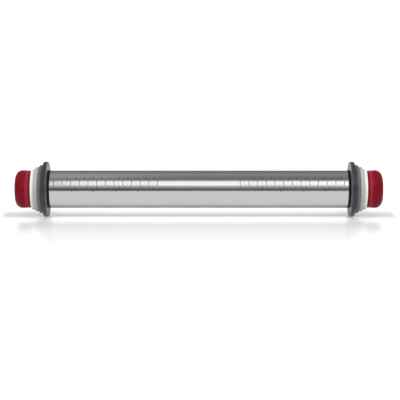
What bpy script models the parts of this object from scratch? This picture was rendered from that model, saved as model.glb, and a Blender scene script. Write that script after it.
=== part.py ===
"""Adjustable rolling pin: a steel tube roller whose ends carry thickness rings under screwed knobs.

The pin lies along X, the middle of its axis is the origin and +Z is up. Lengths are in metres.
Each end is modelled once, along its own Z axis that points out of the tube, and placed twice.
"""

import math

import bmesh
import bpy

MM = 0.001

# Roller tube
ROLLER_LENGTH = 345.0 * MM
ROLLER_RADIUS = 22.0 * MM
ROLLER_WALL = 1.2 * MM
ROLLER_EDGE = 0.4 * MM

# Clearance between pieces that touch or slide
TOUCH_GAP = 0.3 * MM

# Thickness rings, from the tube outwards: name, height above the roller, and width
RINGS = (
    ("10mm", 10.0 * MM, 5.4 * MM),
    ("6mm", 6.0 * MM, 4.3 * MM),
    ("4mm", 4.0 * MM, 4.3 * MM),
    ("2mm", 2.0 * MM, 4.3 * MM),
)
RING_EDGE = 0.5 * MM

# Screw thread of the stud and the insert, a rounded ridge wound on a core
THREAD_CORE_RADIUS = 5.0 * MM
THREAD_RIDGE_RADIUS = 1.0 * MM
THREAD_PITCH = 5.0 * MM
THREAD_CLEARANCE = 0.35 * MM
THREAD_TURNS_TO_FREE = 3
THREAD_NECK = 0.8 * MM
THREAD_RUNOUT_SHARE = 0.3

# Stud with a plain shoulder that carries the rings, and a hexagon head
SHOULDER_STEP = 1.0 * MM
SHOULDER_LEAD = 2.4 * MM
STUD_TIP = 1.0 * MM
STUD_EDGE = 0.6 * MM
STUD_HEAD_STEP = 1.0 * MM
STUD_HEAD_HEIGHT = 5.0 * MM

# Insert in the plug, with a hexagon at its inner end
INSERT_WALL = 2.2 * MM
INSERT_HEX_STEP = 1.2 * MM
INSERT_HEX_HEIGHT = 3.5 * MM
INSERT_MOUTH = 0.6 * MM

# End plug
PLUG_FLANGE = 2.0 * MM
PLUG_WEB = 3.0 * MM
PLUG_SKIRT_LENGTH = 20.0 * MM
PLUG_SKIRT_WALL = 2.0 * MM
PLUG_LEAD_IN = 0.5 * MM
PLUG_HUB_WALL = 1.8 * MM

# Rubber seal in the groove of the plug
SEAL_RADIUS = 0.8 * MM
SEAL_DEPTH = 8.0 * MM

# Knob shell and core
KNOB_RADIUS = 22.1 * MM
KNOB_LENGTH = 18.6 * MM
KNOB_CORNER = 8.8 * MM
KNOB_TAPER = 0.5 * MM
KNOB_EDGE = 0.6 * MM
KNOB_WALL = 2.4 * MM
CORE_BASE = 3.5 * MM
CORE_FLOOR = 4.5 * MM
CORE_HUB_WALL = 1.8 * MM

# How far a cutter runs past the face that it cuts
OVERRUN = 1.0 * MM

# Facets round a turned piece, multiples of four so that a facet faces down
TUBE_FACETS = 64
ROUND_FACETS = 40
INNER_FACETS = 32
STUD_FACETS = 24
THREAD_STEPS = 16
SEAL_FACETS = 6
CORNER_STEPS = 6
HEX_SIDES = 6
MERGE_DISTANCE = 0.01 * MM
SHARP_ANGLE = math.radians(30)

# Places along the axis of an end, measured from the middle of the pin
TUBE_END = ROLLER_LENGTH / 2
FLANGE_INNER = TUBE_END + TOUCH_GAP
FLANGE_OUTER = FLANGE_INNER + PLUG_FLANGE
STACK_LENGTH = sum(width + TOUCH_GAP for name, height, width in RINGS)
KNOB_FACE = FLANGE_OUTER + STACK_LENGTH + TOUCH_GAP
SHOULDER_END = FLANGE_OUTER - SHOULDER_LEAD
COUNTERBORE_END = SHOULDER_END - STACK_LENGTH - 2 * TOUCH_GAP
INSERT_OUTER = COUNTERBORE_END - TOUCH_GAP
INSERT_LENGTH = THREAD_TURNS_TO_FREE * THREAD_PITCH + STUD_TIP
INSERT_INNER = INSERT_OUTER - INSERT_LENGTH

# Radii that follow from the pieces inside each other
TUBE_BORE = ROLLER_RADIUS - ROLLER_WALL
SHOULDER_RADIUS = THREAD_CORE_RADIUS + THREAD_RIDGE_RADIUS + SHOULDER_STEP
SLIDE_BORE = SHOULDER_RADIUS + TOUCH_GAP
INSERT_RADIUS = THREAD_CORE_RADIUS + THREAD_RIDGE_RADIUS + THREAD_CLEARANCE + INSERT_WALL
INSERT_HEX_RADIUS = INSERT_RADIUS + INSERT_HEX_STEP
STUD_HEX_RADIUS = SHOULDER_RADIUS + STUD_HEAD_STEP
HEX_CORNER = 1 / math.cos(math.pi / HEX_SIDES)
PLUG_HUB_RADIUS = (INSERT_HEX_RADIUS + TOUCH_GAP) * HEX_CORNER + PLUG_HUB_WALL
CORE_HUB_RADIUS = (STUD_HEX_RADIUS + TOUCH_GAP) * HEX_CORNER + CORE_HUB_WALL
PLUG_RADIUS = TUBE_BORE - TOUCH_GAP
SEAL_CENTRE_RADIUS = PLUG_RADIUS - SEAL_RADIUS
SEAL_GROOVE_RADIUS = SEAL_CENTRE_RADIUS - SEAL_RADIUS - TOUCH_GAP
PLUG_SKIRT_BORE = SEAL_GROOVE_RADIUS - PLUG_SKIRT_WALL
KNOB_FLAT_RADIUS = KNOB_RADIUS - KNOB_CORNER
KNOB_RIM_RADIUS = KNOB_RADIUS - KNOB_TAPER
CAVITY_RADIUS = KNOB_RIM_RADIUS - KNOB_WALL
CAVITY_CORNER = CAVITY_RADIUS - KNOB_FLAT_RADIUS
CAVITY_END = KNOB_LENGTH - KNOB_WALL
CORE_RADIUS = CAVITY_RADIUS - TOUCH_GAP

# Materials: colour as seen on a screen, roughness, metallic
FINISHES = {
    "brushed_stainless": ((0.72, 0.72, 0.73), 0.28, 1.0),
    "black_plastic": ((0.09, 0.09, 0.10), 0.45, 0.0),
    "charcoal_plastic": ((0.25, 0.25, 0.27), 0.45, 0.0),
    "mid_grey_plastic": ((0.40, 0.40, 0.40), 0.45, 0.0),
    "light_grey_plastic": ((0.72, 0.72, 0.70), 0.45, 0.0),
    "white_plastic": ((0.92, 0.91, 0.89), 0.45, 0.0),
    "red_plastic": ((0.55, 0.09, 0.14), 0.30, 0.0),
    "grey_nylon": ((0.30, 0.30, 0.31), 0.55, 0.0),
    "machined_steel": ((0.66, 0.66, 0.68), 0.32, 1.0),
    "brass": ((0.80, 0.64, 0.34), 0.30, 1.0),
    "black_rubber": ((0.05, 0.05, 0.05), 0.75, 0.0),
}
RING_FINISHES = ("charcoal_plastic", "mid_grey_plastic", "light_grey_plastic", "white_plastic")


# Scene, collections and materials

def clear_scene():
    for obj in list(bpy.data.objects):
        bpy.data.objects.remove(obj, do_unlink=True)


def new_collection(name):
    collection = bpy.data.collections.new(name)
    bpy.context.scene.collection.children.link(collection)
    return collection


def linear(value):
    """Linear light of a screen colour value between 0 and 1."""
    if value <= 0.04045:
        return value / 12.92
    return ((value + 0.055) / 1.055) ** 2.4


def new_material(name):
    colour, roughness, metallic = FINISHES[name]
    material = bpy.data.materials.new(name)
    material.use_nodes = True
    shader = material.node_tree.nodes["Principled BSDF"]
    shader.inputs["Base Color"].default_value = [linear(value) for value in colour] + [1]
    shader.inputs["Roughness"].default_value = roughness
    shader.inputs["Metallic"].default_value = metallic
    return material


clear_scene()
PARTS = new_collection("adjustable_rolling_pin")
CUTTERS = new_collection("cutters")
MATERIALS = {name: new_material(name) for name in FINISHES}


# Workshop: shapes that are turned, cut and joined before they are placed

def add_shape(name, mesh):
    """Object used to shape a piece, drawn as a wire and never rendered."""
    obj = bpy.data.objects.new(name, mesh)
    obj.hide_render = True
    obj.display_type = "WIRE"
    CUTTERS.objects.link(obj)
    return obj


def turned(name, outline, facets):
    """Shape turned about Z from (radius, height) points that run down the outer side.

    An outline that starts on the axis is left open there, and any other one is closed. The facets
    are turned half a step, so that one of them faces straight down.
    """
    profile = bmesh.new()
    points = [profile.verts.new((radius, 0, height)) for radius, height in outline]
    pairs = list(zip(points, points[1:]))
    if outline[0][0] > 0:
        pairs.append((points[-1], points[0]))
    for pair in pairs:
        profile.edges.new(pair)
    mesh = bpy.data.meshes.new(name)
    profile.to_mesh(mesh)
    profile.free()
    obj = add_shape(name, mesh)
    obj.rotation_euler.z = math.pi / facets
    screw = obj.modifiers.new("turn", "SCREW")
    screw.angle = 2 * math.pi
    screw.steps = facets
    screw.render_steps = facets
    screw.use_merge_vertices = True
    screw.merge_threshold = MERGE_DISTANCE
    return obj


def hexagon(name, flat_radius, low, high):
    """Hexagon bar along Z between two heights, sized by the distance from its axis to a flat."""
    prism = bmesh.new()
    corner_radius = flat_radius * HEX_CORNER
    bmesh.ops.create_cone(
        prism,
        cap_ends=True,
        segments=HEX_SIDES,
        radius1=corner_radius,
        radius2=corner_radius,
        depth=high - low,
    )
    bmesh.ops.translate(prism, verts=prism.verts, vec=(0, 0, (high + low) / 2))
    mesh = bpy.data.meshes.new(name)
    prism.to_mesh(mesh)
    prism.free()
    return add_shape(name, mesh)


def thread_ridge(name, ridge_radius, low, high, place, runout_share):
    """Right-hand ridge wound on the thread core between two heights.

    The angle of a point depends on its place along the pin, low or high plus place, so a stud and
    an insert are in mesh. The ridge thins over the share of a turn given as its runout.
    """
    turns = (high - low) / THREAD_PITCH
    steps = round(turns * THREAD_STEPS)
    curve = bpy.data.curves.new(name, "CURVE")
    curve.dimensions = "3D"
    curve.twist_mode = "Z_UP"
    curve.bevel_depth = ridge_radius
    curve.bevel_resolution = 1
    curve.use_fill_caps = True
    spline = curve.splines.new("POLY")
    spline.points.add(steps)
    for step, point in enumerate(spline.points):
        height = low + (high - low) * step / steps
        angle = 2 * math.pi * (height + place) / THREAD_PITCH
        x = THREAD_CORE_RADIUS * math.cos(angle)
        y = THREAD_CORE_RADIUS * math.sin(angle)
        point.co = (x, y, height, 1)
        turns_to_end = turns * min(step, steps - step) / steps
        if turns_to_end < runout_share:
            point.radius = (1 + turns_to_end / runout_share) / 2
    wound = bpy.data.objects.new(name, curve)
    CUTTERS.objects.link(wound)
    mesh = plain_mesh(wound, name)
    bpy.data.objects.remove(wound)
    welded = bmesh.new()
    welded.from_mesh(mesh)
    bmesh.ops.remove_doubles(welded, verts=welded.verts, dist=MERGE_DISTANCE)
    bmesh.ops.recalc_face_normals(welded, faces=welded.faces)
    welded.to_mesh(mesh)
    welded.free()
    return add_shape(name, mesh)


def combine(obj, tool, operation):
    boolean = obj.modifiers.new(operation.lower(), "BOOLEAN")
    boolean.operation = operation
    boolean.solver = "EXACT"
    boolean.object = tool


def plain_mesh(obj, name):
    """Mesh of an object as its modifiers leave it, with its rotation applied."""
    bpy.context.view_layer.update()
    evaluated = obj.evaluated_get(bpy.context.evaluated_depsgraph_get())
    mesh = bpy.data.meshes.new_from_object(evaluated)
    mesh.name = name
    mesh.transform(obj.matrix_world)
    return mesh


def finished(obj, name, finish):
    """Final mesh of a shaped piece, shaded and given its material. The shape itself is removed."""
    mesh = plain_mesh(obj, name)
    bpy.data.objects.remove(obj)
    mesh.shade_smooth()
    mesh.set_sharp_from_angle(angle=SHARP_ANGLE)
    mesh.materials.clear()
    mesh.materials.append(MATERIALS[finish])
    return mesh


def corner_arc(centre_radius, centre_height, corner, upwards):
    """Quarter circle from its top to its widest point, or back up from there."""
    angles = [math.pi / 2 * step / CORNER_STEPS for step in range(CORNER_STEPS + 1)]
    if not upwards:
        angles.reverse()
    return [
        (centre_radius + corner * math.cos(angle), centre_height + corner * math.sin(angle))
        for angle in angles
    ]


# Pieces. The heights of each one count from its own place along the axis

def roller_tube_mesh():
    end = ROLLER_LENGTH / 2
    outline = [
        (ROLLER_RADIUS - ROLLER_EDGE, end),
        (ROLLER_RADIUS, end - ROLLER_EDGE),
        (ROLLER_RADIUS, ROLLER_EDGE - end),
        (ROLLER_RADIUS - ROLLER_EDGE, -end),
        (TUBE_BORE, -end),
        (TUBE_BORE, end),
    ]
    return finished(turned("tube_shape", outline, TUBE_FACETS), "roller_tube", "brushed_stainless")


def ring_mesh(size, height, width, finish):
    """Flat ring with broken outer edges. Its bore slides on the shoulder of the stud."""
    radius = ROLLER_RADIUS + height
    half = width / 2
    outline = [
        (radius - RING_EDGE, half),
        (radius, half - RING_EDGE),
        (radius, RING_EDGE - half),
        (radius - RING_EDGE, -half),
        (SLIDE_BORE, -half),
        (SLIDE_BORE, half),
    ]
    return finished(turned("ring_shape", outline, ROUND_FACETS), "thickness_ring_" + size, finish)


def end_plug_mesh():
    """Plug with a flange, a skirt that fills the tube and a hub for the insert and the shoulder.

    The hub is bored deep enough for the shoulder when no rings are fitted. Heights count from the
    inner face of the flange.
    """
    groove_middle = -SEAL_DEPTH
    groove_half = SEAL_RADIUS + TOUCH_GAP
    hub_end = INSERT_INNER - FLANGE_INNER
    bore_step = COUNTERBORE_END - FLANGE_INNER
    outline = [
        (ROLLER_RADIUS, PLUG_FLANGE),
        (ROLLER_RADIUS, 0),
        (PLUG_RADIUS, 0),
        (PLUG_RADIUS, groove_middle + groove_half),
        (SEAL_GROOVE_RADIUS, groove_middle + groove_half),
        (SEAL_GROOVE_RADIUS, groove_middle - groove_half),
        (PLUG_RADIUS, groove_middle - groove_half),
        (PLUG_RADIUS, PLUG_LEAD_IN - PLUG_SKIRT_LENGTH),
        (PLUG_RADIUS - PLUG_LEAD_IN, -PLUG_SKIRT_LENGTH),
        (PLUG_SKIRT_BORE, -PLUG_SKIRT_LENGTH),
        (PLUG_SKIRT_BORE, -PLUG_WEB),
        (PLUG_HUB_RADIUS, -PLUG_WEB),
        (PLUG_HUB_RADIUS, hub_end),
        (INSERT_RADIUS + TOUCH_GAP, hub_end),
        (INSERT_RADIUS + TOUCH_GAP, bore_step),
        (SLIDE_BORE, bore_step),
        (SLIDE_BORE, PLUG_FLANGE),
    ]
    plug = turned("plug_shape", outline, INNER_FACETS)
    pocket = hexagon(
        "insert_pocket",
        INSERT_HEX_RADIUS + TOUCH_GAP,
        hub_end - OVERRUN,
        hub_end + INSERT_HEX_HEIGHT + TOUCH_GAP,
    )
    combine(plug, pocket, "DIFFERENCE")
    return finished(plug, "end_plug", "black_plastic")


def plug_seal_mesh():
    bpy.ops.mesh.primitive_torus_add(
        major_radius=SEAL_CENTRE_RADIUS,
        minor_radius=SEAL_RADIUS,
        major_segments=INNER_FACETS,
        minor_segments=SEAL_FACETS,
    )
    return finished(bpy.context.object, "plug_seal", "black_rubber")


def thread_insert_mesh():
    """Round nut with a hexagon at its inner end and a thread right through it.

    Heights count from its outer face, which bears on the step in the hub of the plug.
    """
    hexagon_top = INSERT_HEX_HEIGHT - INSERT_LENGTH
    body = [
        (0, 0),
        (INSERT_RADIUS, 0),
        (INSERT_RADIUS, (hexagon_top - INSERT_LENGTH) / 2),
        (0, (hexagon_top - INSERT_LENGTH) / 2),
    ]
    insert = turned("insert_shape", body, INNER_FACETS)
    head = hexagon("insert_hexagon", INSERT_HEX_RADIUS, -INSERT_LENGTH, hexagon_top)
    combine(insert, head, "UNION")
    bore_radius = THREAD_CORE_RADIUS + THREAD_CLEARANCE
    bore = turned(
        "insert_bore",
        [
            (0, OVERRUN),
            (bore_radius + INSERT_MOUTH + OVERRUN, OVERRUN),
            (bore_radius, -INSERT_MOUTH),
            (bore_radius, -INSERT_LENGTH - OVERRUN),
            (0, -INSERT_LENGTH - OVERRUN),
        ],
        STUD_FACETS,
    )
    combine(insert, bore, "DIFFERENCE")
    groove = thread_ridge(
        "insert_thread",
        THREAD_RIDGE_RADIUS + THREAD_CLEARANCE,
        -INSERT_LENGTH - THREAD_PITCH / 2,
        THREAD_PITCH / 2,
        INSERT_OUTER,
        0,
    )
    combine(insert, groove, "DIFFERENCE")
    return finished(insert, "thread_insert", "brass")


def knob_stud_mesh():
    """Stud with a hexagon head, a plain shoulder and a threaded end. Heights count from the knob face."""
    head_low = CORE_FLOOR + TOUCH_GAP
    shoulder_end = SHOULDER_END - KNOB_FACE
    tip = INSERT_INNER - KNOB_FACE
    outline = [
        (0, head_low + STUD_HEAD_HEIGHT / 2),
        (SHOULDER_RADIUS, head_low + STUD_HEAD_HEIGHT / 2),
        (SHOULDER_RADIUS, shoulder_end + STUD_EDGE),
        (SHOULDER_RADIUS - STUD_EDGE, shoulder_end),
        (THREAD_CORE_RADIUS, shoulder_end),
        (THREAD_CORE_RADIUS, tip + STUD_TIP),
        (THREAD_CORE_RADIUS - STUD_TIP, tip),
        (0, tip),
    ]
    stud = turned("stud_shape", outline, STUD_FACETS)
    head = hexagon("stud_head", STUD_HEX_RADIUS, head_low, head_low + STUD_HEAD_HEIGHT)
    combine(stud, head, "UNION")
    ridge = thread_ridge(
        "stud_thread",
        THREAD_RIDGE_RADIUS,
        tip + STUD_TIP + THREAD_RIDGE_RADIUS / 2,
        shoulder_end - THREAD_NECK - THREAD_RIDGE_RADIUS,
        KNOB_FACE,
        THREAD_RUNOUT_SHARE,
    )
    combine(stud, ridge, "UNION")
    return finished(stud, "knob_stud", "machined_steel")


def knob_core_mesh():
    """Base that presses on the rings, and a hub that holds the stud head and backs the shell."""
    reach = max(CORE_HUB_RADIUS + TOUCH_GAP - KNOB_FLAT_RADIUS, 0)
    arc_drop = CAVITY_CORNER - math.sqrt(CAVITY_CORNER ** 2 - reach ** 2)
    hub_end = CAVITY_END - arc_drop - TOUCH_GAP
    outline = [
        (CORE_HUB_RADIUS, hub_end),
        (CORE_HUB_RADIUS, CORE_BASE),
        (CORE_RADIUS, CORE_BASE),
        (CORE_RADIUS, 0),
        (SLIDE_BORE, 0),
        (SLIDE_BORE, hub_end),
    ]
    core = turned("core_shape", outline, INNER_FACETS)
    pocket = hexagon("head_pocket", STUD_HEX_RADIUS + TOUCH_GAP, CORE_FLOOR, hub_end + OVERRUN)
    combine(core, pocket, "DIFFERENCE")
    return finished(core, "knob_core", "grey_nylon")


def knob_shell_mesh():
    """Cup with a flat end, a large rounded corner and sides that taper to the rim."""
    corner_height = KNOB_LENGTH - KNOB_CORNER
    cavity_corner_height = CAVITY_END - CAVITY_CORNER
    outline = [(0, KNOB_LENGTH)]
    outline += corner_arc(KNOB_FLAT_RADIUS, corner_height, KNOB_CORNER, upwards=False)
    outline += [
        (KNOB_RIM_RADIUS, KNOB_EDGE),
        (KNOB_RIM_RADIUS - KNOB_EDGE, 0),
        (CAVITY_RADIUS, 0),
    ]
    outline += corner_arc(KNOB_FLAT_RADIUS, cavity_corner_height, CAVITY_CORNER, upwards=True)
    outline.append((0, CAVITY_END))
    return finished(turned("shell_shape", outline, ROUND_FACETS), "knob_shell", "red_plastic")


# Assembly

def add_end_axis(side, turn):
    """Empty whose Z axis points out of the tube at one end."""
    axis = bpy.data.objects.new(side + "_end", None)
    axis.rotation_euler = (0, math.pi / 2, turn)
    PARTS.objects.link(axis)
    return axis


def place(name, mesh, axis, distance):
    """Piece on the axis of an end, at its distance from the middle of the pin."""
    obj = bpy.data.objects.new(name, mesh)
    obj.parent = axis
    obj.location = (0, 0, distance)
    PARTS.objects.link(obj)
    return obj


def build():
    axes = {"left": add_end_axis("left", math.pi), "right": add_end_axis("right", 0)}
    place("roller_tube", roller_tube_mesh(), axes["right"], 0)
    end_pieces = [
        ("end_plug", end_plug_mesh(), FLANGE_INNER),
        ("plug_seal", plug_seal_mesh(), FLANGE_INNER - SEAL_DEPTH),
        ("thread_insert", thread_insert_mesh(), INSERT_OUTER),
        ("knob_stud", knob_stud_mesh(), KNOB_FACE),
        ("knob_core", knob_core_mesh(), KNOB_FACE),
        ("knob_shell", knob_shell_mesh(), KNOB_FACE),
    ]
    ring_face = FLANGE_OUTER + TOUCH_GAP
    for (size, height, width), finish in zip(RINGS, RING_FINISHES):
        mesh = ring_mesh(size, height, width, finish)
        end_pieces.append(("thickness_ring_" + size, mesh, ring_face + width / 2))
        ring_face += width + TOUCH_GAP
    for name, mesh, distance in end_pieces:
        for side, axis in axes.items():
            place(name + "_" + side, mesh, axis, distance)


build()
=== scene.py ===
"""Looks of the adjustable rolling pin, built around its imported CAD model.

The frame gives every place along the pin. Turned pieces are made once for each end, along their own
Z axis that points out of the tube, and are laid along X. Lengths are in metres.
"""

import math
from collections import namedtuple

import bmesh
import bpy
from mathutils import Matrix, Vector


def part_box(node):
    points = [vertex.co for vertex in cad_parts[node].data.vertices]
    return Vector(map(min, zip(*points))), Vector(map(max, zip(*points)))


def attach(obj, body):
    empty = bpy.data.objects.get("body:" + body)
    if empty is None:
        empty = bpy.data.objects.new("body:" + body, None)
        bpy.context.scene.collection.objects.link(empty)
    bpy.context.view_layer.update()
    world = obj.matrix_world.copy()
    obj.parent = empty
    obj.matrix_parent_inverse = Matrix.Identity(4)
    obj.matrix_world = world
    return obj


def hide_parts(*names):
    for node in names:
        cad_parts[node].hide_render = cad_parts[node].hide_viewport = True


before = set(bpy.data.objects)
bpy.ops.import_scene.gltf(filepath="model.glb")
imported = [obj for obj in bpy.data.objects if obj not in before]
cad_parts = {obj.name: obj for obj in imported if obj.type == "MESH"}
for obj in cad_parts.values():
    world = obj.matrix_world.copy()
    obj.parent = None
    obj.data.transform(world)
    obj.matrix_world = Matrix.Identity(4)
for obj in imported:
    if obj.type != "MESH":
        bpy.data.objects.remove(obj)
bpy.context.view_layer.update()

MM = 0.001

# Roller tube and its engraved scale
TUBE_RADIUS = 22.0 * MM
TUBE_WALL = 1.2 * MM
TUBE_EDGE = 0.35 * MM
SCALE_LENGTH = 120.0 * MM
SCALE_MARGIN = 5.0 * MM
MARK_DEPTH = 0.12 * MM
MARK_PROUD = 0.015 * MM
DIGIT_SIZE = 4.6 * MM
DIGIT_SHIFT = 4.2 * MM
DIGIT_SLICE = 0.35 * MM
MERGE_DISTANCE = 0.001 * MM
COUNT_SLACK = 0.001

# Corners of a mark's cross section: side, and lift from the tube's surface
MARK_SECTION = ((-1, MARK_PROUD), (1, MARK_PROUD), (1, -MARK_DEPTH), (-1, -MARK_DEPTH))

# Angles are in degrees above the front of the tube. Both rulers of a half share one line, and their
# marks bend with the tube in steps. Rows of marks: how many to a unit, width, and the angle where
# the mark ends
RULER_LINE = 22.0
MARK_STEP = 2.0
CM_ROWS = ((10, 0.12 * MM, 27.0), (2, 0.20 * MM, 31.0), (1, 0.62 * MM, 38.0))
INCH_ROWS = ((8, 0.14 * MM, 18.5), (4, 0.34 * MM, 15.5), (1, 0.50 * MM, 11.5))
# Rulers: name, unit, rows of marks, and the angle of the middle of the numbers
RULERS = (
    ("cm", 10.0 * MM, CM_ROWS, 43.5),
    ("inch", 25.4 * MM, INCH_ROWS, 6.8),
)

# Rings: name, radius and the rounding of its rim
RINGS = (
    ("10mm", 32.0 * MM, 1.0 * MM),
    ("6mm", 28.0 * MM, 0.6 * MM),
    ("4mm", 26.0 * MM, 0.6 * MM),
    ("2mm", 24.0 * MM, 0.6 * MM),
)
SLIDE_BORE = 7.3 * MM
BORE_EDGE = 0.4 * MM

# End plug
PLUG_FLANGE = 2.0 * MM
PLUG_FLANGE_EDGE = 0.4 * MM
PLUG_RADIUS = 20.5 * MM
PLUG_LEAD_IN = 0.5 * MM
PLUG_WEB = 3.0 * MM
SEAL_GROOVE_RADIUS = 18.6 * MM
SEAL_GROOVE_WIDTH = 2.2 * MM
SEAL_DEPTH = 8.0 * MM
PLUG_SKIRT_LENGTH = 20.0 * MM
PLUG_SKIRT_BORE = 16.6 * MM
PLUG_HUB_RADIUS = 13.4 * MM
INSERT_BORE = 8.85 * MM
INSERT_POCKET = 10.05 * MM
INSERT_POCKET_DEPTH = 3.8 * MM
TOUCH_GAP = 0.3 * MM

# Stud
THREAD_CORE_RADIUS = 5.0 * MM
THREAD_RIDGE = 1.0 * MM
THREAD_HALF_WIDTH = 1.25 * MM
THREAD_PITCH = 5.0 * MM
THREAD_RUNOUT = 1.5 * MM
THREAD_ROW = 0.25 * MM
STUD_TIP = 1.0 * MM
STUD_NECK = 1.8 * MM
SHOULDER_RADIUS = 7.0 * MM
SHOULDER_END = 172.4 * MM
STUD_EDGE = 0.6 * MM
STUD_HEAD_FLAT = 8.0 * MM
STUD_HEAD_HEIGHT = 5.0 * MM
STUD_HEAD_EDGE = 0.3 * MM

# Knob shell
KNOB_RADIUS = 22.1 * MM
KNOB_CORNER = 8.2 * MM
KNOB_TAPER = 0.5 * MM
KNOB_EDGE = 0.7 * MM
KNOB_WALL = 2.4 * MM

# Meshes
FACETS = 144
ROUNDING_STEPS = 5
CORNER_STEPS = 24
ANGLES = [2 * math.pi * index / FACETS for index in range(FACETS)]
SHARP_ANGLE = math.radians(35)
HEX_SIDES = 6

# Grain of the materials: waves a metre along each axis of the object, and its detail
GROOVE_GRAIN = ((5200, 90, 90), 3)
CLOUD_GRAIN = ((60, 90, 90), 5)
FLOW_GRAIN = ((90, 90, 90), 5)
SKIN_GRAIN = ((1600, 1600, 1600), 2)

# What the grain takes from the roughness and adds to it
CLOUD_ROUGHNESS = 0.04
GROOVE_ROUGHNESS = 0.05
FLOW_ROUGHNESS = (0.05, 0.07)

# Picture: the frame is 400 pixels wide and high
PICTURE_SIZE = 400
MM_PER_PIXEL = 1.166 * MM
OBJECT_CENTRE_X = 198.9
AXIS_Y = 189.0
CAMERA_DISTANCE = 1.5
CAMERA_ELEVATION = math.radians(12)
CAMERA_CLIP = (0.05, 50.0)
SENSOR_WIDTH = 36.0

SIDES = {"left": math.pi, "right": 0.0}

Corner = namedtuple("Corner", "radius height rounding hexagonal", defaults=(0, False))


# Mesh tools

def along(node):
    """Nearest and farthest distance of an end's node from the middle of the pin."""
    low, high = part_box(node + "_right")
    return low.x, high.x


def hexagon_factor(angle):
    """Distance to a hexagon's outline at an angle, as a multiple of the distance to its flat."""
    step = 2 * math.pi / HEX_SIDES
    offset = (angle + step / 2) % step - step / 2
    return 1 / math.cos(offset)


def rounded(corners):
    """Corners of an outline, each one with a rounding replaced by the points of its arc."""
    points = []
    for index, corner in enumerate(corners):
        if corner.rounding == 0:
            points.append(corner)
            continue
        here = Vector((corner.radius, corner.height))
        before, after = corners[index - 1], corners[(index + 1) % len(corners)]
        to_before = (Vector((before.radius, before.height)) - here).normalized()
        to_after = (Vector((after.radius, after.height)) - here).normalized()
        half_angle = to_before.angle(to_after) / 2
        reach = corner.rounding / math.tan(half_angle)
        centre = here + (to_before + to_after).normalized() * corner.rounding / math.sin(half_angle)
        start = here + to_before * reach - centre
        end = here + to_after * reach - centre
        for step in range(ROUNDING_STEPS + 1):
            spoke = start.slerp(end, step / ROUNDING_STEPS).normalized() * corner.rounding
            point = centre + spoke
            points.append(Corner(point.x, point.y, 0, corner.hexagonal))
    return points


def mesh_of(shape, name):
    """Mesh of a finished bmesh, which is freed."""
    mesh = bpy.data.meshes.new(name)
    shape.to_mesh(mesh)
    shape.free()
    return mesh


def lathe(name, rows, closed):
    """Mesh about Z from rows of (height, radii), where radii of None put one point on the axis."""
    shape = bmesh.new()
    rings = []
    for height, radii in rows:
        if radii is None:
            rings.append([shape.verts.new((0, 0, height))])
            continue
        rings.append([
            shape.verts.new((radius * math.cos(angle), radius * math.sin(angle), height))
            for radius, angle in zip(radii, ANGLES)
        ])
    pairs = list(zip(rings, rings[1:]))
    if closed:
        pairs.append((rings[-1], rings[0]))
    for first, second in pairs:
        for index in range(FACETS):
            following = (index + 1) % FACETS
            corners = [
                first[index % len(first)],
                first[following % len(first)],
                second[following % len(second)],
                second[index % len(second)],
            ]
            shape.faces.new(list(dict.fromkeys(corners)))
    bmesh.ops.recalc_face_normals(shape, faces=shape.faces)
    return mesh_of(shape, name)


def row_of(corner):
    """Row of a lathe for one corner of an outline."""
    if corner.radius == 0:
        return corner.height, None
    if not corner.hexagonal:
        return corner.height, [corner.radius] * FACETS
    return corner.height, [corner.radius * hexagon_factor(angle) for angle in ANGLES]


def turned(name, corners):
    """Mesh turned about Z from an outline, which is left open where it starts on the axis."""
    rows = [row_of(corner) for corner in rounded(corners)]
    return lathe(name, rows, closed=corners[0].radius > 0)


def lay(mesh, side):
    """Turns a mesh from its own Z axis to the axis of one end of the pin."""
    mesh.transform(Matrix.Rotation(SIDES[side], 4, "Z") @ Matrix.Rotation(math.pi / 2, 4, "Y"))
    return mesh


def add_piece(name, mesh, body, material, node=None):
    """Shown piece that rides on a body, and stands for a CAD node where one is named."""
    mesh.shade_smooth()
    mesh.set_sharp_from_angle(angle=SHARP_ANGLE)
    mesh.materials.clear()
    mesh.materials.append(material)
    piece = bpy.data.objects.new(name, mesh)
    bpy.context.scene.collection.objects.link(piece)
    shading = piece.modifiers.new("even_shading", "WEIGHTED_NORMAL")
    shading.keep_sharp = True
    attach(piece, body)
    if node:
        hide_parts(node)
    return piece


# Materials

def linear(colour):
    """Linear light of a screen colour given as three values between 0 and 1."""
    values = [v / 12.92 if v <= 0.04045 else ((v + 0.055) / 1.055) ** 2.4 for v in colour]
    return (*values, 1)


def shader_material(name):
    material = bpy.data.materials.new(name)
    material.use_nodes = True
    tree = material.node_tree
    return material, tree, tree.nodes["Principled BSDF"]


def grain(tree, scale, detail):
    """Noise in the object's own coordinates, with its scale along each axis in waves a metre."""
    coordinates = tree.nodes.new("ShaderNodeTexCoord")
    mapping = tree.nodes.new("ShaderNodeMapping")
    mapping.inputs["Scale"].default_value = scale
    noise = tree.nodes.new("ShaderNodeTexNoise")
    noise.inputs["Scale"].default_value = 1
    noise.inputs["Detail"].default_value = detail
    tree.links.new(coordinates.outputs["Object"], mapping.inputs["Vector"])
    tree.links.new(mapping.outputs["Vector"], noise.inputs["Vector"])
    return noise.outputs["Fac"]


def spread(tree, value, low, high):
    """Value between 0 and 1 mapped to a range of its own."""
    ramp = tree.nodes.new("ShaderNodeMapRange")
    ramp.inputs["To Min"].default_value = low
    ramp.inputs["To Max"].default_value = high
    tree.links.new(value, ramp.inputs["Value"])
    return ramp.outputs["Result"]


def computed(tree, operation, *values):
    """Result of a Math node on sockets or numbers."""
    node = tree.nodes.new("ShaderNodeMath")
    node.operation = operation
    for socket, value in zip(node.inputs, values):
        if isinstance(value, (int, float)):
            socket.default_value = value
        else:
            tree.links.new(value, socket)
    return node.outputs["Value"]


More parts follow.
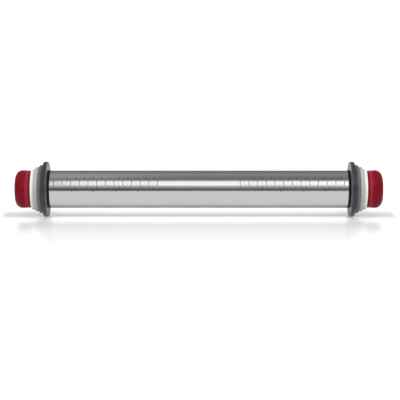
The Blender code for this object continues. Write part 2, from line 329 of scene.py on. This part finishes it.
def place_along(tree, axis):
    """Place on the object along one of its axes, in metres."""
    coordinates = tree.nodes.new("ShaderNodeTexCoord")
    split = tree.nodes.new("ShaderNodeSeparateXYZ")
    tree.links.new(coordinates.outputs["Object"], split.inputs["Vector"])
    return split.outputs[axis]


def stepped(tree, value, stops):
    """Ramp through stops, each a value and a level or a linear colour."""
    low, high = stops[0][0], stops[-1][0]
    share = computed(tree, "DIVIDE", computed(tree, "SUBTRACT", value, low), high - low)
    ramp = tree.nodes.new("ShaderNodeValToRGB")
    for place, _ in stops[1:-1]:
        ramp.color_ramp.elements.new((place - low) / (high - low))
    for element, (place, level) in zip(ramp.color_ramp.elements, stops):
        element.color = grey(level) if isinstance(level, (int, float)) else level
    tree.links.new(share, ramp.inputs["Fac"])
    return ramp.outputs["Color"]


def grey(level):
    return (level, level, level, 1)


def blended(tree, factor, first, second, blend="MIX"):
    """Mix of two colours, each a socket or a linear colour."""
    mix = tree.nodes.new("ShaderNodeMix")
    mix.data_type = "RGBA"
    mix.blend_type = blend
    for name, value in (("Factor", factor), ("A", first), ("B", second)):
        if isinstance(value, (int, float, tuple)):
            mix.inputs[name].default_value = value
        else:
            tree.links.new(value, mix.inputs[name])
    return mix.outputs["Result"]


def tinted(tree, shader, value, dark, light, across=()):
    """Base colour that drifts between two screen colours with a value.

    Stops across are factors of the colour by distance from the middle of the pin: painted shade and
    highlights.
    """
    colour = blended(tree, value, linear(dark), linear(light))
    if across:
        distance = computed(tree, "ABSOLUTE", place_along(tree, "X"))
        colour = blended(tree, 1.0, colour, stepped(tree, distance, across), "MULTIPLY")
    tree.links.new(colour, shader.inputs["Base Color"])


def bumped(tree, shader, value, depth, before=None):
    bump = tree.nodes.new("ShaderNodeBump")
    bump.inputs["Strength"].default_value = 1
    bump.inputs["Distance"].default_value = depth
    tree.links.new(value, bump.inputs["Height"])
    if before:
        tree.links.new(before, bump.inputs["Normal"])
    tree.links.new(bump.outputs["Normal"], shader.inputs["Normal"])
    return bump.outputs["Normal"]


def steel(name, dark, light, roughness, groove_depth, anisotropy):
    """Turned steel: fine grooves round the axis, and a slow drift in colour and gloss."""
    material, tree, shader = shader_material(name)
    shader.inputs["Metallic"].default_value = 1
    shader.inputs["Anisotropic"].default_value = anisotropy
    grooves = grain(tree, *GROOVE_GRAIN)
    clouds = grain(tree, *CLOUD_GRAIN)
    tinted(tree, shader, clouds, dark, light)
    blotches = spread(tree, clouds, roughness - CLOUD_ROUGHNESS, roughness + CLOUD_ROUGHNESS)
    streaks = spread(tree, grooves, -GROOVE_ROUGHNESS, GROOVE_ROUGHNESS)
    tree.links.new(computed(tree, "ADD", blotches, streaks), shader.inputs["Roughness"])
    bumped(tree, shader, grooves, groove_depth)
    tangent = tree.nodes.new("ShaderNodeTangent")
    tangent.direction_type = "RADIAL"
    tangent.axis = "X"
    tree.links.new(tangent.outputs["Tangent"], shader.inputs["Tangent"])
    return material


def plastic(name, dark, light, roughness, skin_depth, specular=0.5, across=()):
    """Moulded plastic: a fine eroded skin over soft flow marks, with slightly uneven gloss."""
    material, tree, shader = shader_material(name)
    flow = grain(tree, *FLOW_GRAIN)
    skin = grain(tree, *SKIN_GRAIN)
    tinted(tree, shader, flow, dark, light, across)
    less, more = FLOW_ROUGHNESS
    uneven = spread(tree, flow, roughness - less, roughness + more)
    tree.links.new(uneven, shader.inputs["Roughness"])
    shader.inputs["Specular IOR Level"].default_value = specular
    soft = bumped(tree, shader, flow, skin_depth)
    bumped(tree, shader, skin, skin_depth, before=soft)
    return material


# Looks: name, dark and light screen colour, roughness, depth of the relief, and the rest by name
TUBE_STEEL = steel(
    "roller_steel_look", (0.772, 0.772, 0.777), (0.802, 0.802, 0.807), 0.16, 0.002 * MM,
    anisotropy=0.3,
)
STUD_STEEL = steel(
    "stud_steel_look", (0.70, 0.70, 0.71), (0.78, 0.78, 0.79), 0.32, 0.01 * MM, anisotropy=0.2,
)
BRASS = steel(
    "brass_look", (0.78, 0.62, 0.32), (0.84, 0.69, 0.40), 0.30, 0.01 * MM, anisotropy=0.2,
)
ENGRAVED = plastic("engraved_look", (0.12, 0.12, 0.12), (0.22, 0.22, 0.22), 0.6, 0.01 * MM)
BLACK = plastic(
    "black_plastic_look", (0.045, 0.045, 0.05), (0.08, 0.08, 0.085), 0.42, 0.01 * MM, specular=0.3,
)
RUBBER = plastic("black_rubber_look", (0.04, 0.04, 0.04), (0.08, 0.08, 0.08), 0.75, 0.02 * MM)
NYLON = plastic("grey_nylon_look", (0.27, 0.27, 0.28), (0.33, 0.33, 0.34), 0.55, 0.02 * MM)

# Painted light on the knob, as factors of its colour by distance from the middle of the pin:
# painted shade beside the white ring, a painted highlight in a lighter band of the rim, and
# painted shade towards the rounded far end
KNOB_NEAR, KNOB_FAR = along("knob_shell")
KNOB_PAINTED_LIGHT = (
    (KNOB_NEAR, (0.80, 0.35, 0.55, 1)),
    (KNOB_NEAR + 1.3 * MM, (0.88, 0.45, 0.65, 1)),
    (KNOB_NEAR + 3.2 * MM, (1.60, 5.8, 2.9, 1)),
    (KNOB_NEAR + 4.8 * MM, (1.60, 6.2, 3.1, 1)),
    (KNOB_NEAR + 6.6 * MM, (1.02, 1.1, 1.0, 1)),
    (KNOB_FAR - 5.0 * MM, (0.98, 0.95, 0.95, 1)),
    (KNOB_FAR, (0.90, 0.75, 0.80, 1)),
)
RED = plastic(
    "red_plastic_look", (0.485, 0.043, 0.111), (0.53, 0.056, 0.131), 0.34, 0.006 * MM,
    specular=0.10, across=KNOB_PAINTED_LIGHT,
)


def ring_look(size, name, dark, light, stops, roughness=0.38, specular=0.4):
    """Plastic of one ring, with painted shade and painted light across its width.

    Stops are shares of the ring's width from its inner face, with the factor of the colour.
    """
    near, far = along("thickness_ring_" + size)
    across = [(near + (far - near) * share, factor) for share, factor in stops]
    return plastic(name, dark, light, roughness, 0.01 * MM, specular, across)


# Painted light on the rings, as factors of the colour by share of a ring's width from its inner
# face: a painted highlight on the inner face of the largest ring, and on the smaller rings painted
# shade in the corner beside the next, taller ring, painted slightly lighter at the outer edge
INNER_FACE_PAINTED_LIGHT = ((0.0, 4.2), (0.06, 3.6), (0.17, 1.0), (1.0, 1.0))
MID_PAINTED_SHADE = ((0.0, 0.50), (0.3, 0.56), (0.7, 0.88), (1.0, 1.08))
CORNER_PAINTED_SHADE = ((0.0, 0.62), (0.2, 0.72), (0.6, 1.0), (1.0, 1.06))
RING_LOOKS = {
    "10mm": ring_look(
        "10mm", "charcoal_plastic_look", (0.20, 0.20, 0.215), (0.23, 0.23, 0.245), INNER_FACE_PAINTED_LIGHT,
        roughness=0.30, specular=0.35,
    ),
    "6mm": ring_look(
        "6mm", "mid_grey_plastic_look", (0.43, 0.43, 0.43), (0.48, 0.48, 0.48), MID_PAINTED_SHADE,
    ),
    "4mm": ring_look(
        "4mm", "light_grey_plastic_look", (0.72, 0.725, 0.71), (0.77, 0.775, 0.76), CORNER_PAINTED_SHADE,
    ),
    "2mm": ring_look(
        "2mm", "white_plastic_look", (0.97, 0.955, 0.935), (1.0, 0.985, 0.965), CORNER_PAINTED_SHADE,
    ),
}
HIDDEN_LOOKS = {"thread_insert": BRASS, "plug_seal": RUBBER, "knob_core": NYLON}


# Pieces

def tube_mesh():
    low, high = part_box("roller_tube")
    bore = TUBE_RADIUS - TUBE_WALL
    corners = [
        Corner(TUBE_RADIUS, high.x, TUBE_EDGE),
        Corner(TUBE_RADIUS, low.x, TUBE_EDGE),
        Corner(bore, low.x, TUBE_EDGE),
        Corner(bore, high.x, TUBE_EDGE),
    ]
    return lay(turned("roller_tube_look", corners), "right")


def ring_mesh(size, radius, edge):
    near, far = along("thickness_ring_" + size)
    corners = [
        Corner(radius, far, edge),
        Corner(radius, near, edge),
        Corner(SLIDE_BORE, near, BORE_EDGE),
        Corner(SLIDE_BORE, far, BORE_EDGE),
    ]
    return turned("ring_" + size, corners)


def plug_mesh():
    face = along("end_plug")[1]
    flange = face - PLUG_FLANGE
    insert_near, insert_far = along("thread_insert")
    groove_outer = flange - SEAL_DEPTH + SEAL_GROOVE_WIDTH / 2
    groove_inner = groove_outer - SEAL_GROOVE_WIDTH
    skirt_end = flange - PLUG_SKIRT_LENGTH
    pocket_end = insert_near + INSERT_POCKET_DEPTH
    step = insert_far + TOUCH_GAP
    corners = [
        Corner(TUBE_RADIUS, face, PLUG_FLANGE_EDGE),
        Corner(TUBE_RADIUS, flange, PLUG_FLANGE_EDGE),
        Corner(PLUG_RADIUS, flange),
        Corner(PLUG_RADIUS, groove_outer),
        Corner(SEAL_GROOVE_RADIUS, groove_outer),
        Corner(SEAL_GROOVE_RADIUS, groove_inner),
        Corner(PLUG_RADIUS, groove_inner),
        Corner(PLUG_RADIUS, skirt_end, PLUG_LEAD_IN),
        Corner(PLUG_SKIRT_BORE, skirt_end, PLUG_LEAD_IN),
        Corner(PLUG_SKIRT_BORE, flange - PLUG_WEB),
        Corner(PLUG_HUB_RADIUS, flange - PLUG_WEB),
        Corner(PLUG_HUB_RADIUS, insert_near, PLUG_LEAD_IN),
        Corner(INSERT_POCKET, insert_near, 0, True),
        Corner(INSERT_POCKET, pocket_end, 0, True),
        Corner(INSERT_BORE, pocket_end),
        Corner(INSERT_BORE, step),
        Corner(SLIDE_BORE, step),
        Corner(SLIDE_BORE, face, BORE_EDGE),
    ]
    return turned("end_plug", corners)


def stud_mesh():
    """Stud with its hexagon head, its plain shoulder and its wound thread."""
    tip, head_end = along("knob_stud")
    head = head_end - STUD_HEAD_HEIGHT
    thread_low = tip + STUD_TIP
    thread_high = SHOULDER_END - STUD_NECK / 2
    outer = [
        Corner(0, head_end),
        Corner(STUD_HEAD_FLAT, head_end, STUD_HEAD_EDGE, True),
        Corner(STUD_HEAD_FLAT, head, STUD_HEAD_EDGE, True),
        Corner(SHOULDER_RADIUS, head),
        Corner(SHOULDER_RADIUS, SHOULDER_END, STUD_EDGE),
        Corner(THREAD_CORE_RADIUS, SHOULDER_END),
    ]
    rows = [row_of(corner) for corner in rounded(outer)]
    count = round((thread_high - thread_low) / THREAD_ROW)
    for index in range(count + 1):
        height = thread_high + (thread_low - thread_high) * index / count
        fade = min(1, (thread_high - height) / THREAD_RUNOUT, (height - thread_low) / THREAD_RUNOUT)
        radii = []
        for angle in ANGLES:
            turn = height - THREAD_PITCH * angle / (2 * math.pi)
            offset = (turn + THREAD_PITCH / 2) % THREAD_PITCH - THREAD_PITCH / 2
            share = min(1, abs(offset) / THREAD_HALF_WIDTH)
            ridge = THREAD_RIDGE * fade * (1 + math.cos(math.pi * share)) / 2
            radii.append(THREAD_CORE_RADIUS + ridge)
        rows.append((height, radii))
    rows.append((tip, [THREAD_CORE_RADIUS - STUD_TIP] * FACETS))
    rows.append((tip, None))
    return lathe("knob_stud", rows, closed=False)


def knob_mesh():
    """Cup with a flat end, a large rounded corner and sides that taper to the rim."""
    face, end = along("knob_shell")
    flat = KNOB_RADIUS - KNOB_CORNER
    rim = KNOB_RADIUS - KNOB_TAPER
    cavity = rim - KNOB_WALL
    cavity_end = end - KNOB_WALL
    cavity_corner = cavity - flat
    arc = [math.pi / 2 * step / CORNER_STEPS for step in range(CORNER_STEPS + 1)]
    corners = [Corner(0, end)]
    for angle in reversed(arc):
        corners.append(Corner(
            flat + KNOB_CORNER * math.cos(angle),
            end - KNOB_CORNER + KNOB_CORNER * math.sin(angle),
        ))
    corners.append(Corner(rim, face, KNOB_EDGE))
    corners.append(Corner(cavity, face, KNOB_EDGE))
    for angle in arc:
        corners.append(Corner(
            flat + cavity_corner * math.cos(angle),
            cavity_end - cavity_corner + cavity_corner * math.sin(angle),
        ))
    corners.append(Corner(0, cavity_end))
    return turned("knob_shell", corners)


def add_pieces():
    add_piece("roller_tube_look", tube_mesh(), "roller", TUBE_STEEL, "roller_tube")
    for side in SIDES:
        plug = lay(plug_mesh(), side)
        add_piece(
            f"end_plug_{side}_look", plug, "roller", BLACK, "end_plug_" + side,
        )
        for size, radius, edge in RINGS:
            add_piece(
                f"thickness_ring_{size}_{side}_look",
                lay(ring_mesh(size, radius, edge), side),
                f"ring_{size}_{side}",
                RING_LOOKS[size],
                f"thickness_ring_{size}_{side}",
            )
        knob = "knob_" + side
        shell = lay(knob_mesh(), side)
        add_piece(
            f"knob_shell_{side}_look", shell, knob, RED, "knob_shell_" + side,
        )
        stud = lay(stud_mesh(), side)
        add_piece(
            f"knob_stud_{side}_look", stud, knob, STUD_STEEL, "knob_stud_" + side,
        )


def dress_hidden_nodes():
    """Better materials for the CAD nodes that stay, all of them inside other pieces."""
    for side in SIDES:
        for node, material in HIDDEN_LOOKS.items():
            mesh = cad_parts[f"{node}_{side}"].data
            mesh.materials.clear()
            mesh.materials.append(material)


# Engraved scale

def on_tube(x, angle, lift):
    """Point at an angle above the front of the tube, lifted from its surface."""
    radius = TUBE_RADIUS + lift
    return Vector((x, -radius * math.cos(angle), radius * math.sin(angle)))


def add_mark(shape, x, width, end):
    """Thin bent bar let into the tube, from the rulers' line to an angle in degrees."""
    steps = math.ceil(abs(end - RULER_LINE) / MARK_STEP)
    rows = []
    for step in range(steps + 1):
        angle = math.radians(RULER_LINE + (end - RULER_LINE) * step / steps)
        rows.append([
            shape.verts.new(on_tube(x + side * width / 2, angle, lift))
            for side, lift in MARK_SECTION
        ])
    for first, second in zip(rows, rows[1:]):
        for index in range(len(first)):
            following = (index + 1) % len(first)
            shape.faces.new((first[index], first[following], second[following], second[index]))
    shape.faces.new(rows[0])
    shape.faces.new(rows[-1])


def marks_mesh(start, unit, rows):
    """Marks of one ruler: each place gets only the longest mark that falls on it."""
    shape = bmesh.new()
    finest = rows[0][0]
    for index in range(math.floor(SCALE_LENGTH / unit * finest + COUNT_SLACK) + 1):
        width, end = [(width, end) for share, width, end in rows if index * share % finest == 0][-1]
        add_mark(shape, start + index * unit / finest, width, end)
    bmesh.ops.recalc_face_normals(shape, faces=shape.faces)
    return mesh_of(shape, "scale_marks")


def digits_mesh(start, unit, middle):
    """Plain numbers bent round the tube, each one to the left of its mark."""
    shape = bmesh.new()
    for number in range(1, math.floor(SCALE_LENGTH / unit + COUNT_SLACK) + 1):
        text = bpy.data.curves.new("digits", "FONT")
        text.body = str(number)
        text.size = DIGIT_SIZE
        text.align_x = "CENTER"
        text.align_y = "CENTER"
        text.extrude = (MARK_DEPTH + MARK_PROUD) / 2
        holder = bpy.data.objects.new("digits", text)
        mesh = bpy.data.meshes.new_from_object(holder)
        mesh.transform(Matrix.Translation((start + number * unit - DIGIT_SHIFT, 0, 0)))
        shape.from_mesh(mesh)
        bpy.data.objects.remove(holder)
        bpy.data.meshes.remove(mesh)
    slices = round(DIGIT_SIZE / DIGIT_SLICE)
    for index in range(-slices, slices + 1):
        bmesh.ops.bisect_plane(
            shape,
            geom=shape.verts[:] + shape.edges[:] + shape.faces[:],
            plane_co=(0, index * DIGIT_SLICE, 0),
            plane_no=(0, 1, 0),
        )
    bmesh.ops.remove_doubles(shape, verts=shape.verts, dist=MERGE_DISTANCE)
    bmesh.ops.recalc_face_normals(shape, faces=shape.faces)
    for vert in shape.verts:
        angle = math.radians(middle) + vert.co.y / TUBE_RADIUS
        lift = vert.co.z - (MARK_DEPTH - MARK_PROUD) / 2
        vert.co = on_tube(vert.co.x, angle, lift)
    return mesh_of(shape, "scale_digits")


def add_scales():
    low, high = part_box("roller_tube")
    starts = {"left": low.x + SCALE_MARGIN, "right": high.x - SCALE_MARGIN - SCALE_LENGTH}
    for side, start in starts.items():
        for ruler, unit, rows, middle in RULERS:
            marks = marks_mesh(start, unit, rows)
            add_piece(f"{ruler}_marks_{side}", marks, "roller", ENGRAVED)
            digits = digits_mesh(start, unit, middle)
            add_piece(f"{ruler}_digits_{side}", digits, "roller", ENGRAVED)


add_pieces()
dress_hidden_nodes()
add_scales()


# Stage: floor, surroundings, lights and camera

FLOOR_Z = -RINGS[0][1]
FLOOR_SIZE = 12.0
FLOOR_ALBEDO = 0.86
FLOOR_SHEEN_IOR = 1.6
FLOOR_GLOSS_ROUGHNESS = 0.14

# Lift of the floor to plain white by its distance behind the pin: between the rings, at the ends of
# the pin and beyond them, and what is added far behind it. A raised lift over the soft edges of the
# pin's real shadow narrows it to a band, a painted light; in front of the pin a low lift leaves
# painted grey under the faint mirror image, and beyond the pin's ends a low lift paints a shadow
# band where no shadow falls
FLOOR_LIFTS = (
    (-0.170, 0.55), (-0.147, 0.30), (-0.121, 0.17), (-0.081, 0.18), (-0.060, 0.24),
    (-0.050, 0.22), (-0.044, 0.165), (-0.034, 0.235), (-0.024, 0.36), (-0.0185, 0.55),
    (-0.014, 0.77), (-0.009, 0.70), (-0.004, 0.38), (0.0, 0.19), (0.0063, 0.23), (0.0115, 0.39),
    (0.024, 0.66),
)
END_LIFTS = (
    (-0.147, 0.55), (-0.095, 0.38), (-0.072, 0.30), (-0.053, 0.22), (-0.044, 0.17),
    (-0.034, 0.20), (-0.024, 0.40), (-0.018, 0.52), (-0.009, 0.52), (-0.004, 0.32), (0.0, 0.25),
    (0.0063, 0.31), (0.012, 0.33), (0.017, 0.38), (0.022, 0.47), (0.030, 0.62),
)
BEYOND_PAINTED_SHADOW_LIFTS = (
    (-0.022, 0.55), (-0.014, 0.35), (-0.007, 0.16), (0.0, 0.04), (0.010, 0.05),
    (0.016, 0.12), (0.024, 0.45),
)
FAR_LIFTS = ((0.03, 0), (1.0, 0.18), (3.0, 0.38))

# Where these lifts apply, and the plain one outside them, by the distance from the pin's middle
END_SHARES = ((0.160, 0), (0.180, 1))
BEYOND_SHARES = ((0.206, 0), (0.222, 1))
CLEAR_SHARES = ((0.226, 0), (0.236, 1))
CLEAR_LIFT = 0.6

# Shares of the floor's gloss, by the distance behind the pin and by that from the pin's middle
FLOOR_GLOSS = ((-0.20, 0), (-0.11, 0.55), (-0.06, 1), (0.03, 1), (0.12, 0))
GLOSS_SHARES = ((0.24, 1), (0.32, 0))

# Share of plain white that metal sees in the floor, by the distance behind the pin
FLOOR_IN_METAL = (
    (-0.40, 0.945), (-0.06, 0.945), (-0.035, 0.88), (-0.018, 0.88), (-0.008, 0.40), (0.0, 0.12),
    (0.06, 0.12), (0.12, 0.80),
)

# Lights: strength of the world, a key lamp, and a lamp above it that gloss doesn't show
WORLD_STRENGTH = 0.65
KEY_SIZE = (0.80, 0.58)
KEY_CENTRE_X = 0.10
KEY_DISTANCE = 1.15
KEY_ELEVATION = math.radians(47.0)
KEY_RADIANCE = 1.05
TOP_SIZE = (1.2, 0.3)
TOP_DISTANCE = 1.25
TOP_ELEVATION = math.radians(76)
TOP_RADIANCE = 5.3

# Shares of the key lamp's strength by the distance to the right of its middle
KEY_SHARES = (
    (-0.40, 0.97), (-0.27, 0.94), (-0.10, 0.93), (-0.02, 0.94), (0.07, 1.0), (0.18, 1.10),
    (0.40, 1.10),
)

# Arch over the pin that only gloss shows. Its levels: angle in degrees above the front, and the
# strength on the left and on the right
ARCH_RADIUS = 1.45
ARCH_HALF_LENGTH = 1.6
ARCH_SEGMENTS = 48
ARCH_LEVELS = (
    (0.3, 0.04, 0.06), (7.5, 0.04, 0.07), (14, 0.19, 0.23), (20.5, 0.40, 0.44), (27, 0.60, 0.66),
    (34, 0.80, 0.80), (68, 0.28, 0.24), (80, 0.36, 0.24), (90, 0.48, 0.27), (98, 0.50, 0.33),
    (108, 0.48, 0.38), (118, 0.38, 0.36), (130, 0.32, 0.28), (146, 0.22, 0.22), (160, 0.20, 0.20),
)
ARCH_FADE = (-0.22, -0.06)
ARCH_END_LEVEL = 0.35


def stage_plane(name, width, depth, material):
    half_x, half_y = width / 2, depth / 2
    mesh = bpy.data.meshes.new(name)
    mesh.from_pydata(
        [(-half_x, -half_y, 0), (half_x, -half_y, 0), (half_x, half_y, 0), (-half_x, half_y, 0)],
        [],
        [(0, 1, 2, 3)],
    )
    mesh.materials.append(material)
    plane = bpy.data.objects.new(name, mesh)
    bpy.context.scene.collection.objects.link(plane)
    return plane


def seen_in_gloss(path):
    """Sockets of the rays that see the background in metal and glass."""
    return [path.outputs["Is Glossy Ray"], path.outputs["Is Transmission Ray"]]


def floor_lift(tree, depth, distance):
    """Level of the glow that lifts the floor to plain white."""
    level = stepped(tree, depth, FLOOR_LIFTS)
    for shares, lifts in ((END_SHARES, END_LIFTS), (BEYOND_SHARES, BEYOND_PAINTED_SHADOW_LIFTS)):
        level = blended(tree, stepped(tree, distance, shares), level, stepped(tree, depth, lifts))
    level = blended(tree, stepped(tree, distance, CLEAR_SHARES), level, grey(CLEAR_LIFT))
    return blended(tree, 1.0, level, stepped(tree, depth, FAR_LIFTS), "ADD")


def floor_material():
    """White floor with a faint mirror image, lifted to plain white with painted light and shade."""
    material, tree, shader = shader_material("floor_look")
    tree.nodes.remove(shader)
    depth = place_along(tree, "Y")
    distance = computed(tree, "ABSOLUTE", place_along(tree, "X"))
    path = tree.nodes.new("ShaderNodeLightPath")
    matte = tree.nodes.new("ShaderNodeBsdfDiffuse")
    matte.inputs["Color"].default_value = grey(FLOOR_ALBEDO)
    lift = tree.nodes.new("ShaderNodeEmission")
    tree.links.new(floor_lift(tree, depth, distance), lift.inputs["Color"])
    tree.links.new(path.outputs["Is Camera Ray"], lift.inputs["Strength"])
    lit = tree.nodes.new("ShaderNodeAddShader")
    tree.links.new(matte.outputs["BSDF"], lit.inputs[0])
    tree.links.new(lift.outputs["Emission"], lit.inputs[1])
    gloss = tree.nodes.new("ShaderNodeBsdfGlossy")
    gloss.inputs["Roughness"].default_value = FLOOR_GLOSS_ROUGHNESS
    fresnel = tree.nodes.new("ShaderNodeFresnel")
    fresnel.inputs["IOR"].default_value = FLOOR_SHEEN_IOR
    mirrored = tree.nodes.new("ShaderNodeMixShader")
    sheen = computed(tree, "MULTIPLY", fresnel.outputs["Fac"], stepped(tree, depth, FLOOR_GLOSS))
    sheen = computed(tree, "MULTIPLY", sheen, stepped(tree, distance, GLOSS_SHARES))
    tree.links.new(sheen, mirrored.inputs["Fac"])
    tree.links.new(lit.outputs["Shader"], mirrored.inputs[1])
    tree.links.new(gloss.outputs["BSDF"], mirrored.inputs[2])
    plain = tree.nodes.new("ShaderNodeEmission")
    in_metal = tree.nodes.new("ShaderNodeMixShader")
    share = stepped(tree, depth, FLOOR_IN_METAL)
    share = computed(tree, "MULTIPLY", share, computed(tree, "MAXIMUM", *seen_in_gloss(path)))
    tree.links.new(share, in_metal.inputs["Fac"])
    tree.links.new(mirrored.outputs["Shader"], in_metal.inputs[1])
    tree.links.new(plain.outputs["Emission"], in_metal.inputs[2])
    tree.links.new(in_metal.outputs["Shader"], tree.nodes["Material Output"].inputs["Surface"])
    return material


def glowing(name):
    """Material that only glows, with its tree and its emission node."""
    material, tree, shader = shader_material(name)
    tree.nodes.remove(shader)
    glow = tree.nodes.new("ShaderNodeEmission")
    tree.links.new(glow.outputs["Emission"], tree.nodes["Material Output"].inputs["Surface"])
    return material, tree, glow


def arch_material():
    """Glow that changes with the angle above the front, and from the left to the right."""
    material, tree, glow = glowing("arch_look")
    forward = computed(tree, "MULTIPLY", place_along(tree, "Y"), -1)
    angle = computed(tree, "ARCTAN2", place_along(tree, "Z"), forward)
    left, right = (
        stepped(tree, angle, [(math.radians(row[0]), row[column]) for row in ARCH_LEVELS])
        for column in (1, 2)
    )
    across = stepped(tree, place_along(tree, "X"), ((ARCH_FADE[0], 0), (ARCH_FADE[1], 1)))
    tree.links.new(blended(tree, across, left, right), glow.inputs["Color"])
    return material


def end_material():
    """Even grey glow."""
    material, _, glow = glowing("arch_end_look")
    glow.inputs["Strength"].default_value = ARCH_END_LEVEL
    return material


def add_surroundings():
    """Arch over the pin and its two ends, which are left out of the picture and of the light."""
    lowest, highest = ARCH_LEVELS[0][0], ARCH_LEVELS[-1][0]
    rows = []
    for index in range(ARCH_SEGMENTS + 1):
        angle = math.radians(lowest + (highest - lowest) * index / ARCH_SEGMENTS)
        y, z = -ARCH_RADIUS * math.cos(angle), ARCH_RADIUS * math.sin(angle)
        rows.append([(-ARCH_HALF_LENGTH, y, z), (ARCH_HALF_LENGTH, y, z)])
    points = [point for row in rows for point in row]
    faces = [(2 * i, 2 * i + 1, 2 * i + 3, 2 * i + 2) for i in range(ARCH_SEGMENTS)]
    shapes = [("arch", points, faces, arch_material())]
    outline = [(-ARCH_RADIUS, FLOOR_Z), (-ARCH_RADIUS, 0)] + [row[0][1:] for row in rows]
    outline += [(ARCH_RADIUS, 0), (ARCH_RADIUS, FLOOR_Z)]
    end_look = end_material()
    for side, sign in (("left", -1), ("right", 1)):
        end = [(sign * ARCH_HALF_LENGTH, y, z) for y, z in outline]
        shapes.append((f"arch_end_{side}", end, [tuple(range(len(end)))], end_look))
    for name, points, faces, material in shapes:
        mesh = bpy.data.meshes.new(name)
        mesh.from_pydata(points, [], faces)
        mesh.materials.append(material)
        card = bpy.data.objects.new(name, mesh)
        bpy.context.scene.collection.objects.link(card)
        card.visible_camera = False
        card.visible_diffuse = False
        card.visible_shadow = False


def add_softbox(name, size, centre_x, distance, elevation, radiance, shares=()):
    """Rectangular lamp over the front that faces the pin, with shares of its strength along it."""
    data = bpy.data.lights.new(name, "AREA")
    data.shape = "RECTANGLE"
    data.size, data.size_y = size
    data.energy = radiance * math.pi * size[0] * size[1]
    light = bpy.data.objects.new(name, data)
    light.location = (centre_x, -distance * math.cos(elevation), distance * math.sin(elevation))
    light.rotation_euler = (math.pi / 2 - elevation, 0, 0)
    bpy.context.scene.collection.objects.link(light)
    if shares:
        data.use_nodes = True
        tree = data.node_tree
        share = stepped(tree, place_along(tree, "X"), shares)
        tree.links.new(share, tree.nodes["Emission"].inputs["Strength"])
    return light


def add_world():
    """Plain white surroundings: full white where they are seen, and a plain level as light."""
    world = bpy.data.worlds.new("studio")
    bpy.context.scene.world = world
    world.use_nodes = True
    tree = world.node_tree
    background = tree.nodes["Background"]
    background.inputs["Color"].default_value = (1, 1, 1, 1)
    path = tree.nodes.new("ShaderNodeLightPath")
    seen = path.outputs["Is Camera Ray"]
    for other in seen_in_gloss(path):
        seen = computed(tree, "MAXIMUM", seen, other)
    tree.links.new(spread(tree, seen, WORLD_STRENGTH, 1), background.inputs["Strength"])


def add_camera():
    """Camera in front of the pin, aimed so that the pin lies where the photograph shows it."""
    data = bpy.data.cameras.new("camera")
    data.sensor_width = SENSOR_WIDTH
    data.lens = SENSOR_WIDTH * CAMERA_DISTANCE / (PICTURE_SIZE * MM_PER_PIXEL)
    data.clip_start, data.clip_end = CAMERA_CLIP
    camera = bpy.data.objects.new("camera", data)
    camera.rotation_euler = (math.pi / 2 - CAMERA_ELEVATION, 0, 0)
    right_shift = (PICTURE_SIZE / 2 - OBJECT_CENTRE_X) * MM_PER_PIXEL
    down_shift = (PICTURE_SIZE / 2 - AXIS_Y) * MM_PER_PIXEL
    backward = Vector((0, -math.cos(CAMERA_ELEVATION), math.sin(CAMERA_ELEVATION)))
    upward = Vector((0, math.sin(CAMERA_ELEVATION), math.cos(CAMERA_ELEVATION)))
    camera.location = backward * CAMERA_DISTANCE - upward * down_shift + Vector((right_shift, 0, 0))
    bpy.context.scene.collection.objects.link(camera)
    bpy.context.scene.camera = camera


floor = stage_plane("floor", FLOOR_SIZE, FLOOR_SIZE, floor_material())
floor.location.z = FLOOR_Z
add_surroundings()
add_softbox(
    "key_softbox", KEY_SIZE, KEY_CENTRE_X, KEY_DISTANCE, KEY_ELEVATION, KEY_RADIANCE, KEY_SHARES,
)
top_softbox = add_softbox("top_softbox", TOP_SIZE, 0, TOP_DISTANCE, TOP_ELEVATION, TOP_RADIANCE)
top_softbox.visible_glossy = False
add_world()
add_camera()
bpy.context.scene.view_settings.view_transform = "Standard"
